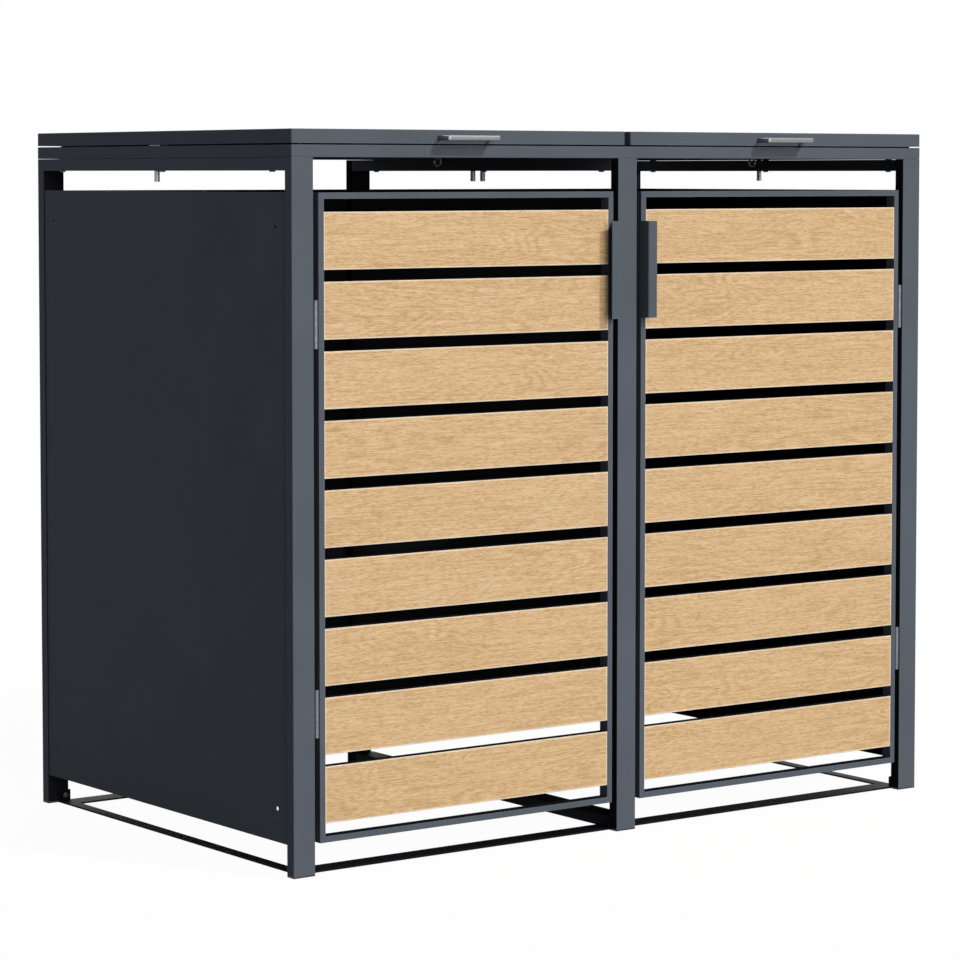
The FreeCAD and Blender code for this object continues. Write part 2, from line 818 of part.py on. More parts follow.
def hinge_leaf(axis, start, length, middle, pivot, plate, arm):
    """Leaf plate with its knuckles, as a solid with a bore for the pin.

    pivot holds the two coordinates square to the axis; plate and arm are the
    leaf's spans in them, each a start and a size.
    """
    slot = "xyz".index(axis)

    def along(span_start, pair):
        values = list(pair)
        values.insert(slot, span_start)
        return values

    pieces = [box(along(length, plate[1]), along(start, plate[0]))]
    for span_start, span in knuckle_spans(start, length, middle):
        pieces.append(rod("knuckle_radius", span, along(span_start, pivot), axis))
        pieces.append(box(along(span, arm[1]), along(span_start, arm[0])))
    bore = rod(
        "pin_radius + pin_clearance" if middle else "pin_radius",
        f"{length} + 2 * {MARGIN}",
        along(f"{start} - {MARGIN}", pivot),
        axis,
    )
    return cut(joined(*pieces), bore)


def hinge_pin(axis, start, length, pivot):
    values = list(pivot)
    values.insert("xyz".index(axis), start)
    return rod("pin_radius", length, values, axis)


def door_hinge_starts():
    centres = ("floor_gap + hinge_inset", f"{DOOR_TOP} - hinge_inset")
    return [f"{centre} - hinge_height / 2" for centre in centres]


def make_door_hinges():
    fixed = []
    clear = "(knuckle_radius - leaf_relief)"
    for where, side in SIDES.items():
        pivot = (mirrored(side, DOOR_PIVOT_X), DOOR_PIVOT_Y)
        plate_y = f"{DOOR_PIVOT_Y} + {clear}"
        plate_depth = f"leaf_reach - {clear}"
        post_face = f"{BAY_START} + {BAY_WIDTH}"
        post_x = mirrored(side, f"{post_face} - leaf_sheet", "leaf_sheet")
        door_x = mirrored(side, f"{post_face} - door_gap", "leaf_sheet")
        moving = []
        for start in door_hinge_starts():
            for middle, leaf_x, leaves in ((False, post_x, fixed), (True, door_x, moving)):
                plate = ((leaf_x, plate_y), ("leaf_sheet", plate_depth))
                arm = ((leaf_x, DOOR_PIVOT_Y), ("leaf_sheet", clear))
                leaves.append(hinge_leaf("z", start, "hinge_height", middle, pivot, plate, arm))
            fixed.append(hinge_pin("z", start, "hinge_height", pivot))
        keep(f"door_hinge_leaves_{where}", group(moving))
    keep("door_hinge_posts_side", group(fixed))


def lid_hinge_starts(side):
    inner = "lid_spacing / 2 + lid_hinge_inset"
    outer = f"{HALF_WIDTH} - lid_hinge_inset - lid_hinge_length"
    return [mirrored(side, offset, "lid_hinge_length") for offset in (inner, outer)]


def make_lid_hinges():
    fixed = []
    pivot = (LID_PIVOT_Y, LID_PIVOT_Z)
    face = HALF_DEPTH
    clear = "(knuckle_radius + knuckle_gap)"
    low = f"{LID_PIVOT_Z} - leaf_reach"
    high = f"{LID_PIVOT_Z} + {clear}"
    reach = f"leaf_reach - {clear}"
    for where, side in SIDES.items():
        moving = []
        for start in lid_hinge_starts(side):
            plate = ((face, low), ("leaf_sheet", reach))
            arm = ((face, f"{LID_PIVOT_Z} - {clear}"), ("leaf_sheet", clear))
            fixed.append(hinge_leaf("x", start, "lid_hinge_length", False, pivot, plate, arm))
            fixed.append(hinge_pin("x", start, "lid_hinge_length", pivot))
            plate = ((face, high), ("leaf_sheet", reach))
            arm = ((face, LID_PIVOT_Z), ("leaf_sheet", clear))
            moving.append(hinge_leaf("x", start, "lid_hinge_length", True, pivot, plate, arm))
        keep(f"lid_hinge_leaves_{where}", group(moving))
    keep("lid_hinge_frame_side", group(fixed))


# Catches and buffers


def make_catches():
    """Magnet housings on the back of the middle post, just behind each door's stile."""
    pieces = []
    stile_back = f"({DOOR_FRONT} + door_tube_depth)"
    post_back = f"(0 - {HALF_DEPTH} + post_depth)"
    reach = "(door_gap + door_tube_width)"
    for side in SIDES.values():
        base = f"{DOOR_TOP} - catch_drop - catch_height"
        face = f"({stile_back} + catch_gap)"
        width = f"({reach} + catch_foot)"
        start = f"{BAY_START} - catch_foot"
        body_y = f"({face} + magnet_thickness)"
        body = box((width, "catch_depth", "catch_height"), (mirrored(side, start, width), body_y, base))
        foot = box(
            ("catch_foot", f"{body_y} - {post_back}", "catch_height"),
            (mirrored(side, start, "catch_foot"), post_back, base),
        )
        magnet = box(
            ("door_tube_width", "magnet_thickness", "catch_height"),
            (mirrored(side, f"{BAY_START} + door_gap", "door_tube_width"), face, base),
        )
        pieces.append(joined(body, foot, magnet))
    keep("magnetic_catches", group(pieces))


def make_buffers():
    """Rubber strips on the frame, under the front edge of each lid."""
    pieces = []
    length = f"({LID_WIDTH} - strip_inset)"
    y = f"0 - {HALF_DEPTH} + lid_sheet / 2"
    for side in SIDES.values():
        x = mirrored(side, "lid_spacing / 2", length)
        pieces.append(box((length, "strip_width", "lid_gap"), (x, y, FRAME_TOP)))
    keep("lid_buffers", group(pieces))


# Lids


def make_lid(where, side):
    """Folded tray, open below, with an ear plate under it for each gas strut."""
    start_x = mirrored(side, "lid_spacing / 2", LID_WIDTH)
    name = f"lid_{where}"
    tray = extrusion(
        name + "_tray",
        "z",
        [rectangle(LID_WIDTH, "overall_depth")],
        "lid_height",
        (start_x, f"0 - {HALF_DEPTH}", LID_BASE),
    )
    fillet_edges(
        tray, "lid_radius", lambda edge, limits: edge.CenterOfMass.z > limits.ZMin + TOUCHING
    )
    inside = (
        f"{LID_WIDTH} - 2 * lid_sheet",
        "overall_depth - 2 * lid_sheet",
        f"lid_height - lid_sheet + {MARGIN}",
    )
    corner = (f"{start_x} + lid_sheet", f"0 - {HALF_DEPTH} + lid_sheet", f"{LID_BASE} - {MARGIN}")
    hollow = box(inside, corner)
    shell = cut(tray, hollow)
    plates = []
    for lid_side, centre, _ in strut_planes():
        if lid_side != side:
            continue
        offset = "(joint_width / 2 + stub_length + anchor_gap)"
        plate_x = f"{centre} + {offset}" if side < 0 else f"{centre} - {offset} - ear_plate"
        bottom = f"{STRUT_Z} - joint_radius"
        plates.append(
            box(
                ("ear_plate", "ear_plate_length", f"overall_height - lid_sheet / 2 - ({bottom})"),
                (plate_x, f"{STRUT_BACK_Y} - ear_plate_length / 2", bottom),
            )
        )
    keep(name, joined(shell, *plates))


def lid_middle(side):
    return mirrored(side, f"lid_spacing / 2 + {LID_WIDTH} / 2")


def make_lid_pull(where, side):
    """Flat bow on the lid's front edge: a grip on two legs, its front corners rounded."""
    name = f"lid_pull_{where}"
    at = (
        f"{lid_middle(side)} - lid_pull_width / 2",
        f"0 - {HALF_DEPTH} - lid_pull_reach",
        f"{LID_BASE} + lid_pull_lift",
    )
    wide = "lid_pull_width"
    deep = "lid_pull_reach"
    leg = "lid_pull_leg"
    grip = "lid_pull_grip"
    outline = [
        ("0", "0"), (wide, "0"), (wide, deep), (f"{wide} - {leg}", deep),
        (f"{wide} - {leg}", grip), (leg, grip), (leg, deep), ("0", deep),
    ]
    body = extrusion(name, "z", [outline], "lid_pull_thickness", at)

    def is_front_corner(edge, limits):
        return on_limits(edge, limits, "z") and abs(edge.CenterOfMass.y - limits.YMin) < TOUCHING

    def is_rim(edge, limits):
        middle = edge.CenterOfMass
        level = min(abs(middle.z - limits.ZMin), abs(middle.z - limits.ZMax)) < TOUCHING
        return level and middle.y < limits.YMax - TOUCHING

    fillet_edges(body, "lid_pull_radius", is_front_corner)
    keep(name, fillet_edges(body, "lid_pull_edge", is_rim))


def make_lid_eye(where, side):
    """Eye under the lid for the strap that lifts the bin's own lid."""
    x = lid_middle(side)
    y = f"0 - {HALF_DEPTH} + eye_setback"
    ceiling = "(overall_height - lid_sheet)"
    centre = f"({ceiling} - eye_drop)"
    ring = fresh("Part::Torus")
    ring.Placement.Rotation = Rotation(ALONG["z"], ALONG["y"])
    bind(ring, "Radius1", "eye_ring")
    bind(ring, "Radius2", "eye_wire")
    place(ring, (x, y, centre))
    stem = rod("eye_stem", f"{ceiling} - {centre} - eye_ring", (x, y, f"{centre} + eye_ring"))
    flange = rod("eye_flange", "eye_flange_thickness", (x, y, f"{ceiling} - eye_flange_thickness"))
    keep(f"lid_eye_{where}", joined(ring, stem, flange))


# Gas struts


def make_anchors():
    """Base plate, ear, pivot pin and threaded stud of each strut's lower end."""
    pieces = []
    for side, centre, stud in strut_planes():
        inward = 1 if side < 0 else -1
        ear_offset = "(joint_width / 2 + anchor_gap)"
        if inward > 0:
            ear_x = f"{centre} + {ear_offset}"
        else:
            ear_x = f"{centre} - {ear_offset} - ear_plate"
        y = STRUT_FRONT_Y
        ear_top = f"({STRUT_Z} + joint_radius)"
        ear = box(
            ("ear_plate", "2 * joint_radius", f"{ear_top} - {FRAME_TOP}"),
            (ear_x, f"{y} - joint_radius", FRAME_TOP),
        )
        pin_length = f"(joint_width + {ear_offset} - joint_width / 2 + ear_plate)"
        if inward > 0:
            pin_x = f"{centre} - joint_width / 2"
            plate_x = f"{stud} - stud_radius"
        else:
            pin_x = f"{centre} + joint_width / 2 - {pin_length}"
            plate_x = f"{stud} + stud_radius - anchor_width"
        pin = rod("joint_pin", pin_length, (pin_x, y, STRUT_Z), "x")
        plate = box(
            ("anchor_width", "anchor_length", "anchor_sheet"),
            (plate_x, f"{y} - anchor_length / 2", FRAME_TOP),
        )
        reach = f"{FRAME_TOP} - {RAIL_BASE} + stud_drop"
        shank = rod("stud_radius", reach, (stud, y, f"{RAIL_BASE} - stud_drop"))
        pieces.append(joined(ear, pin, plate, shank))
    keep("strut_anchors", group(pieces))


def make_struts(where, side):
    """Both gas struts of one lid: cylinders on the frame, rods to the lid."""
    cylinders = []
    rods = []
    body_start = f"({STRUT_FRONT_Y} + joint_radius + strut_end)"
    body_end = f"({body_start} + strut_body)"
    for lid_side, x, _ in strut_planes():
        if lid_side != side:
            continue
        inward = 1 if side < 0 else -1
        barrel = rod("strut_radius", "strut_body", (x, body_start, STRUT_Z), "y")
        neck = rod("strut_stem", f"{body_start} - ({STRUT_FRONT_Y})", (x, STRUT_FRONT_Y, STRUT_Z), "y")
        eye = rod("joint_radius", "joint_width", (f"{x} - joint_width / 2", STRUT_FRONT_Y, STRUT_Z), "x")
        pin_hole = rod(
            "joint_pin + rod_clearance",
            f"joint_width + 2 * {MARGIN}",
            (f"{x} - joint_width / 2 - {MARGIN}", STRUT_FRONT_Y, STRUT_Z),
            "x",
        )
        bore_at = (x, f"{body_start} + strut_end", STRUT_Z)
        bore = rod("strut_bore", "strut_body - strut_end - strut_guide", bore_at, "y")
        guide = rod(
            "rod_radius + rod_clearance",
            f"strut_guide + 2 * {MARGIN}",
            (x, f"{body_end} - strut_guide - {MARGIN}", STRUT_Z),
            "y",
        )
        cylinders.append(cut(joined(barrel, neck, eye), pin_hole, bore, guide))

        rod_start = f"({body_start} + strut_end + piston_rest)"
        shaft = rod("rod_radius", f"{STRUT_BACK_Y} - {rod_start}", (x, rod_start, STRUT_Z), "y")
        piston = rod("piston_radius", "piston_length", (x, rod_start, STRUT_Z), "y")
        tip = rod("joint_radius", "joint_width", (f"{x} - joint_width / 2", STRUT_BACK_Y, STRUT_Z), "x")
        stub_x = f"{x}" if inward > 0 else f"{x} - joint_width / 2 - stub_length"
        stub = rod("joint_pin", "joint_width / 2 + stub_length", (stub_x, STRUT_BACK_Y, STRUT_Z), "x")
        rods.append(joined(shaft, piston, tip, stub))
    keep(f"strut_cylinders_{where}", group(cylinders))
    keep(f"strut_rods_{where}", group(rods))


# Checks and files


def check_and_write():
    doc.recompute()
    failed = [item.Label for item in doc.Objects if {"Invalid", "Error"} & set(item.State)]
    assert not failed, failed
    assert len(nodes) <= MAX_NODES, len(nodes)
    for name, item in nodes.items():
        shape = item.Shape
        assert not shape.isNull() and shape.isValid(), name
        assert shape.Solids, name
    os.makedirs("parts", exist_ok=True)
    for name, item in nodes.items():
        item.Shape.exportStep(f"parts/{name}.step")
        print(name, len(item.Shape.Solids), "solids", round(item.Shape.Volume), "mm3")


def main():
    make_sheet()
    make_posts()
    make_lower_rails()
    make_upper_frame()
    make_frame_bolts()
    make_floor_frame()
    make_panels()
    make_panel_brackets()
    make_screws()
    make_catches()
    make_buffers()
    make_door_hinges()
    make_lid_hinges()
    make_anchors()
    for where, side in SIDES.items():
        make_door_frame(where, side)
        make_slats(where, side)
        make_door_pull(where, side)
        make_lid(where, side)
        make_lid_pull(where, side)
        make_lid_eye(where, side)
        make_struts(where, side)
    check_and_write()


main()
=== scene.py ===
# %% [markdown]
# # A bin store, dressed
# The store is a frame of powder-coated steel tube with sheet walls, slatted doors and
# two lids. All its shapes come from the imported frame. This file gives them their
# finishes, and sets up the camera, the floor and the light.

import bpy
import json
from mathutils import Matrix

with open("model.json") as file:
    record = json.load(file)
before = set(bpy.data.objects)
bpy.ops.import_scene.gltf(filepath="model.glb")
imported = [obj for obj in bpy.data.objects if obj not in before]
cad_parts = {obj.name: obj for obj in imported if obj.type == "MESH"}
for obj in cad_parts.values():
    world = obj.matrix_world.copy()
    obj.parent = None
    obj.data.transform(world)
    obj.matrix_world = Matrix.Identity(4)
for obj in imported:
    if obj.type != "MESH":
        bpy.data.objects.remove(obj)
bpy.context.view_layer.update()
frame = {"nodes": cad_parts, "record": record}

# %% Modules for the rest
import json
import math

import bmesh
import bpy
from mathutils import Vector

NODES = frame["nodes"]
MM = 0.001
print(len(NODES), "nodes to dress")

# %% [markdown]
# ## Camera
# The photograph was taken with a long lens from the front left corner, a little below
# the lids. Its upright edges look parallel, which a view camera gets by sliding its
# lens. A large slide would also move the store across the frame when it is seen from
# other sides, so a small slide and a small tilt share that work here.

# %% Camera
# The place, in metres, and the angles were solved from the store's edges in the photograph.
CAMERA_PLACE = (-3.4742, -4.7104, 1.0927)
CAMERA_YAW = math.radians(36.283)
CAMERA_TILT = math.radians(3.586)
# Blender counts the lens and the sensor in millimetres, and the slide in sensor widths.
LENS_LENGTH = 125.84
SENSOR_WIDTH = 36.0
LENS_SLIDE = -0.1
VIEW_END = 100.0


def make_camera():
    data = bpy.data.cameras.new("camera")
    data.lens = LENS_LENGTH
    data.sensor_width = SENSOR_WIDTH
    data.shift_y = LENS_SLIDE
    data.clip_end = VIEW_END
    camera = bpy.data.objects.new("camera", data)
    camera.location = CAMERA_PLACE
    camera.rotation_euler = (math.pi / 2 - CAMERA_TILT, 0.0, -CAMERA_YAW)
    bpy.context.scene.collection.objects.link(camera)
    bpy.context.scene.camera = camera
    print("camera at", CAMERA_PLACE, "with a lens of", LENS_LENGTH, "mm")


make_camera()

# %% [markdown]
# ## Colours and nodes
# Paint colours are quoted in sRGB, as on a colour card. The renderer works with linear
# light, so one function converts them. A material is a tree of nodes, which could be
# laid out by hand in the editor. Here one function adds any node with its settings and
# links, so a finish reads from top to bottom, and a node stands for its first output.

# %% Colours
WHITE = "#FFFFFF"
NOISE_LOW = 0.3
NOISE_HIGH = 0.7


def linear(code):
    """Linear colour of an sRGB hex code."""
    parts = [int(code[i:i + 2], 16) / 255 for i in (1, 3, 5)]
    return [c / 12.92 if c <= 0.04045 else ((c + 0.055) / 1.055) ** 2.4 for c in parts] + [1.0]


def over_noise(dark, light):
    """Two tones as colour stops at the ends of the range that most of a noise lies in."""
    return (NOISE_LOW, dark), (NOISE_HIGH, light)


def set_stops(ramp, stops):
    """Give a colour ramp its stops, each a place from 0 to 1 and an sRGB code."""
    while len(ramp.elements) < len(stops):
        ramp.elements.new(0.5)
    for element, (place, code) in zip(ramp.elements, stops):
        element.position = place
        element.color = linear(code)


print("mid grey in linear light:", [round(part, 3) for part in linear("#808080")])


# %% Nodes and materials
def connect(tree, node, links):
    """Give a node's inputs their links or plain values."""
    for socket, source in links.items():
        if isinstance(source, bpy.types.Node):
            source = next(output for output in source.outputs if output.enabled)
        if isinstance(source, bpy.types.NodeSocket):
            tree.links.new(source, node.inputs[socket])
        else:
            node.inputs[socket].default_value = source


def add(tree, kind, links=None, stops=(), **settings):
    """Add a node with its settings, its colour stops, and its inputs' links or values."""
    node = tree.nodes.new(kind)
    for name, value in settings.items():
        setattr(node, name, value)
    if stops:
        set_stops(node.color_ramp, stops)
    connect(tree, node, links or {})
    return node


def new_material(name, **shader_values):
    """Material with a principled shader whose plain values are set on its own sockets."""
    material = bpy.data.materials.new(name)
    material.use_nodes = True
    tree = material.node_tree
    tree.nodes.clear()
    values = {socket.replace("_", " "): value for socket, value in shader_values.items()}
    shader = add(tree, "ShaderNodeBsdfPrincipled", values)
    add(tree, "ShaderNodeOutputMaterial", {"Surface": shader})
    return material, tree, shader


def object_place(tree, scale=(1.0, 1.0, 1.0), offset=(0.0, 0.0, 0.0)):
    """Place on the object in metres, multiplied per axis and moved."""
    coordinates = add(tree, "ShaderNodeTexCoord")
    return add(
        tree, "ShaderNodeMapping",
        {"Vector": coordinates.outputs["Object"], "Scale": scale, "Location": offset},
    )


# %% [markdown]
# ## Painted edge highlights and painted shade
# Rounded edges catch the light as a thin lighter line, and here that line is painted into
# the colour as a painted highlight. The line could be painted on a map by hand. A Bevel
# node finds the edges by itself: its rounded normal turns away from the flat one only
# there. A second mask picks the faces of a piece that look along given directions, for
# finishes that stop at a fold and for painted shade.

# %% Masks for edges and faces
BEVEL_SAMPLES = 4
# The dot product of both normals is 1 on a flat and falls towards the middle of an edge.
EDGE_STARTS = 0.995
EDGE_FULL = 0.85
FACE_LIMIT = 0.6
FRONT = (0.0, -1.0, 0.0)
BACK = (0.0, 1.0, 0.0)
UP = (0.0, 0.0, 1.0)
LEFT = (-1.0, 0.0, 0.0)
RIGHT = (1.0, 0.0, 0.0)


def edge_mask(tree, radius):
    """1 on the rounded edges of a shape and 0 on its flats."""
    rounded = add(tree, "ShaderNodeBevel", {"Radius": radius}, samples=BEVEL_SAMPLES)
    flat = add(tree, "ShaderNodeNewGeometry").outputs["Normal"]
    turn = add(tree, "ShaderNodeVectorMath", {0: rounded, 1: flat}, operation="DOT_PRODUCT")
    return add(
        tree, "ShaderNodeMapRange", {"Value": turn, "From Min": EDGE_STARTS, "From Max": EDGE_FULL}
    )


def paint_edge_highlight(tree, colour, radius, code, amount):
    """Painted highlight: mix a lighter colour in along the rounded edges, where they would catch the
    light.
    """
    mask = edge_mask(tree, radius)
    share = add(tree, "ShaderNodeMath", {0: mask, 1: amount}, operation="MULTIPLY")
    return add(
        tree, "ShaderNodeMix", {"Factor": share, "A": colour, "B": linear(code)}, data_type="RGBA"
    )


def faces(tree, *directions):
    """1 on the faces of a piece that look along one of the directions, and 0 on the others."""
    normal = add(tree, "ShaderNodeTexCoord").outputs["Normal"]
    share = 0.0
    for direction in directions:
        turn = add(tree, "ShaderNodeVectorMath", {0: normal, 1: direction}, operation="DOT_PRODUCT")
        looks = add(tree, "ShaderNodeMath", {0: turn, 1: FACE_LIMIT}, operation="GREATER_THAN")
        share = add(tree, "ShaderNodeMath", {0: looks, 1: share}, operation="MAXIMUM")
    return share


print("a face counts within", round(math.degrees(math.acos(FACE_LIMIT))), "degrees of a direction")

# %% [markdown]
# ## Powder coat
# The steel is sprayed with an anthracite fine-structure powder and baked: a deep matt
# skin with hardly any sheen. The skin isn't quite level. It has a fine peel, a few
# millimetres from crest to crest, and its tone drifts a little over a panel. Both are
# too shallow to be worth any mesh, so two noises of those sizes give bump and tone. The
# flat bars on the floor have the same powder in black. Faces behind the slats, under the
# lids and beside the doors lie in shade, so painted shade is laid on them: a near-black
# in place of the coat, with no sheen.

# %% Powder-coated steel
PEEL_SPACING = 2.5 * MM
PEEL_DEPTH = 0.02 * MM
PEEL_STRENGTH = 0.6
DRIFT_SPACING = 180 * MM
# With its tone, the coat's roughness drifts by this much down and up.
SMOOTHER = 0.04
ROUGHER = 0.05
# Painted highlight: a lighter grey mixed in along the coat's rounded edges.
EDGE_RADIUS = 2.0 * MM
EDGE_HIGHLIGHT_SHARE = 0.3
EDGE_HIGHLIGHT = "#8D939A"
# Specular level: 0.5 suits a smooth varnish, and a fine structure scatters nearly all of it.
COAT_SHEEN = 0.025
# Painted shade: a near-black laid on faces that lie in shade.
PAINTED_SHADE_TONE = "#202023"


def powder_coat(name, tones, roughness, edge=EDGE_HIGHLIGHT, painted_shade=()):
    """Coat in two close tones. painted_shade lists the directions whose faces get painted shade, a
    near-black, instead.
    """
    material, tree, shader = new_material(name, IOR=1.5, Specular_IOR_Level=COAT_SHEEN)
    place = object_place(tree)
    drift = add(tree, "ShaderNodeTexNoise", {"Vector": place, "Scale": 1 / DRIFT_SPACING, "Detail": 3.0})
    peel = add(tree, "ShaderNodeTexNoise", {"Vector": place, "Scale": 1 / PEEL_SPACING, "Detail": 2.0})
    colour = add(tree, "ShaderNodeValToRGB", {"Fac": drift}, stops=over_noise(*tones))
    # Painted highlight along the edges.
    skin = paint_edge_highlight(tree, colour, EDGE_RADIUS, edge, EDGE_HIGHLIGHT_SHARE)
    if painted_shade:
        # Painted shade: these faces get a near-black instead of the coat.
        painted_shade_mask = faces(tree, *painted_shade)
        skin = add(
            tree, "ShaderNodeMix", {"Factor": painted_shade_mask, "A": skin, "B": linear(PAINTED_SHADE_TONE)}, data_type="RGBA"
        )
        # Painted shade carries no sheen, or it would show the white studio in the dark of the inside.
        sheen = add(tree, "ShaderNodeMapRange", {"Value": painted_shade_mask, "To Min": COAT_SHEEN, "To Max": 0.0})
        connect(tree, shader, {"Specular IOR Level": sheen})
    gloss = add(
        tree, "ShaderNodeMapRange",
        {"Value": drift, "To Min": roughness - SMOOTHER, "To Max": roughness + ROUGHER},
    )
    skin_peel = add(
        tree, "ShaderNodeBump", {"Height": peel, "Distance": PEEL_DEPTH, "Strength": PEEL_STRENGTH}
    )
    connect(tree, shader, {"Base Color": skin, "Roughness": gloss, "Normal": skin_peel})
    return material


# %% Coats in one colour
ANTHRACITE = ("#52575E", "#585D64")
LID_ANTHRACITE = ("#52575E", "#575C63")
BLACK = ("#121317", "#17181C")

# Rails, brackets and door pulls: a deep matt grey with a touch of blue.
FRAME_COAT = powder_coat("anthracite_powder_coat", ANTHRACITE, roughness=0.5)
# Lids: the same on wide sheet, a little more matt.
SHEET_COAT = powder_coat("anthracite_coated_sheet", LID_ANTHRACITE, roughness=0.52)
# Floor bars: black, with a painted highlight along the edges that is hardly lighter.
FLOOR_COAT = powder_coat("black_powder_coat", BLACK, roughness=0.55, edge="#2A2C30")
print("coats:", FRAME_COAT.name, SHEET_COAT.name, FLOOR_COAT.name)

# %% Coats with painted shade on some faces
# Walls, posts, upper frame and door frames: anthracite outside, with painted shade on these faces.
SHADE_PAINTED_FACES = {
    "side_panel_left": (RIGHT,),
    "side_panel_right": (LEFT,),
    "back_panel_left": (FRONT,),
    "back_panel_right": (FRONT,),
    "post_back_left": (FRONT, RIGHT),
    "post_back_middle": (FRONT, LEFT, RIGHT),
    "post_back_right": (FRONT, LEFT),
    "post_front_left": (BACK, RIGHT),
    "post_front_middle": (BACK, LEFT, RIGHT),
    "post_front_right": (BACK, LEFT),
    "upper_frame": (UP,),
    "door_frame_left": (UP,),
    "door_frame_right": (UP,),
}
COATS_WITH_PAINTED_SHADE = {
    name: powder_coat(f"anthracite_with_painted_shade_{name}", ANTHRACITE, roughness=0.5, painted_shade=directions)
    for name, directions in SHADE_PAINTED_FACES.items()
}
print(len(COATS_WITH_PAINTED_SHADE), "pieces with primed faces")

# %% [markdown]
# ## Oak decor
# The slats are steel too. A printed oak film on their fronts gives them their look, so
# the grain has colour but hardly any depth. It runs along the slat: year rings that
# wander and close into long arches, fine fibres, and short darker pores. A picture of
# oak would repeat and show its own light. Noises drawn out along the slat don't, and
# the print is built up as a printer does it, one layer darkening the last. Each slat is
# cut from another stretch of the print. The folds, lips and backs get painted shade.

# %% Grain of the print
ARCH_SIZE = (330 * MM, 60 * MM)
ARCH_RINGS = 17.0
RING_FRAYING = 5.0
RING_SHADE = ((0.0, "#E9DECB"), (0.6, WHITE))


def long_noise(tree, size, offset, **inputs):
    """Noise whose spots have a given length along X and width along Z."""
    place = object_place(tree, (1 / size[0], 1.0, 1 / size[1]), offset)
    return add(tree, "ShaderNodeTexNoise", {"Vector": place, "Scale": 1.0, **inputs})


def year_rings(tree, fibres, offset):
    """Thin lines along the level curves of a slow noise, frayed by the fibres."""
    hills = long_noise(tree, ARCH_SIZE, offset, Detail=1.0, Distortion=0.5)
    turns = add(tree, "ShaderNodeMath", {0: hills, 1: ARCH_RINGS * math.tau}, operation="MULTIPLY")
    frayed = add(
        tree, "ShaderNodeMath", {0: fibres, 1: RING_FRAYING, 2: turns}, operation="MULTIPLY_ADD"
    )
    wave = add(tree, "ShaderNodeMath", {0: frayed}, operation="SINE")
    height = add(tree, "ShaderNodeMapRange", {"Value": wave, "From Min": -1.0, "From Max": 1.0})
    return add(tree, "ShaderNodeValToRGB", {"Fac": height}, stops=RING_SHADE)


print("one year ring for each", round(1 / ARCH_RINGS, 3), "that the slow noise rises")

# %% Layers of the print
BAND_SIZE = (420 * MM, 24 * MM)
OAK_BANDS = ((0.3, "#D4B58A"), (0.45, "#D6B88D"), (0.6, "#D8BA90"), (0.72, "#D5B68C"))
# The rings show well in some patches of a slat, and faintly in between.
ARCH_PATCH_SIZE = (260 * MM, 110 * MM)
ARCH_PATCHES = {"From Min": 0.35, "From Max": 0.6, "To Min": 0.1, "To Max": 0.6}
# Real fibres and pores are finer than this, too fine to show, so these are coarser.
FIBRE_SIZE = (60 * MM, 1.1 * MM)
FIBRE_SHADE = ((0.36, "#DFD4BF"), (0.6, WHITE))
FIBRE_AMOUNT = 0.75
PORE_SIZE = (9 * MM, 1.0 * MM)
PORE_SHADE = ((0.34, "#CDB894"), (0.46, "#EEE5D5"), (0.62, WHITE))
PORE_AMOUNT = 0.7
# Painted highlight: a pale line along the slats' rounded edges.
PRINT_EDGE = 3.5 * MM
PRINT_HIGHLIGHT_SHARE = 0.9
PRINT_EDGE_HIGHLIGHT = "#FFF6E8"


def oak_print(tree, fibres, offset):
    """Bands of the ground tone, darkened in part by rings, fibres and pores, with a painted highlight
    along the edges.
    """
    bands = long_noise(tree, BAND_SIZE, offset, Detail=4.0, Distortion=0.6)
    pores = long_noise(tree, PORE_SIZE, offset, Detail=2.0, Roughness=0.55)
    patches = long_noise(tree, ARCH_PATCH_SIZE, offset, Detail=1.0)
    arches = add(tree, "ShaderNodeMapRange", {"Value": patches, **ARCH_PATCHES})
    layers = (
        (year_rings(tree, fibres, offset), arches),
        (add(tree, "ShaderNodeValToRGB", {"Fac": fibres}, stops=FIBRE_SHADE), FIBRE_AMOUNT),
        (add(tree, "ShaderNodeValToRGB", {"Fac": pores}, stops=PORE_SHADE), PORE_AMOUNT),
    )
    colour = add(tree, "ShaderNodeValToRGB", {"Fac": bands}, stops=OAK_BANDS)
    for shade, amount in layers:
        colour = add(
            tree, "ShaderNodeMix", {"Factor": amount, "A": colour, "B": shade},
            data_type="RGBA", blend_type="MULTIPLY",
        )
    return paint_edge_highlight(tree, colour, PRINT_EDGE, PRINT_EDGE_HIGHLIGHT, PRINT_HIGHLIGHT_SHARE)


print("fibres", FIBRE_SIZE[1] / MM, "mm wide, pores", PORE_SIZE[0] / MM, "mm long")

# %% Oak film on a slat
# Printed film with a satin skin: the grain is just felt in its shine.
FILM_SHEEN = 0.5
FILM_ROUGHNESS = (0.48, 0.6)
FIBRE_DEPTH = 0.03 * MM
FIBRE_STRENGTH = 0.5


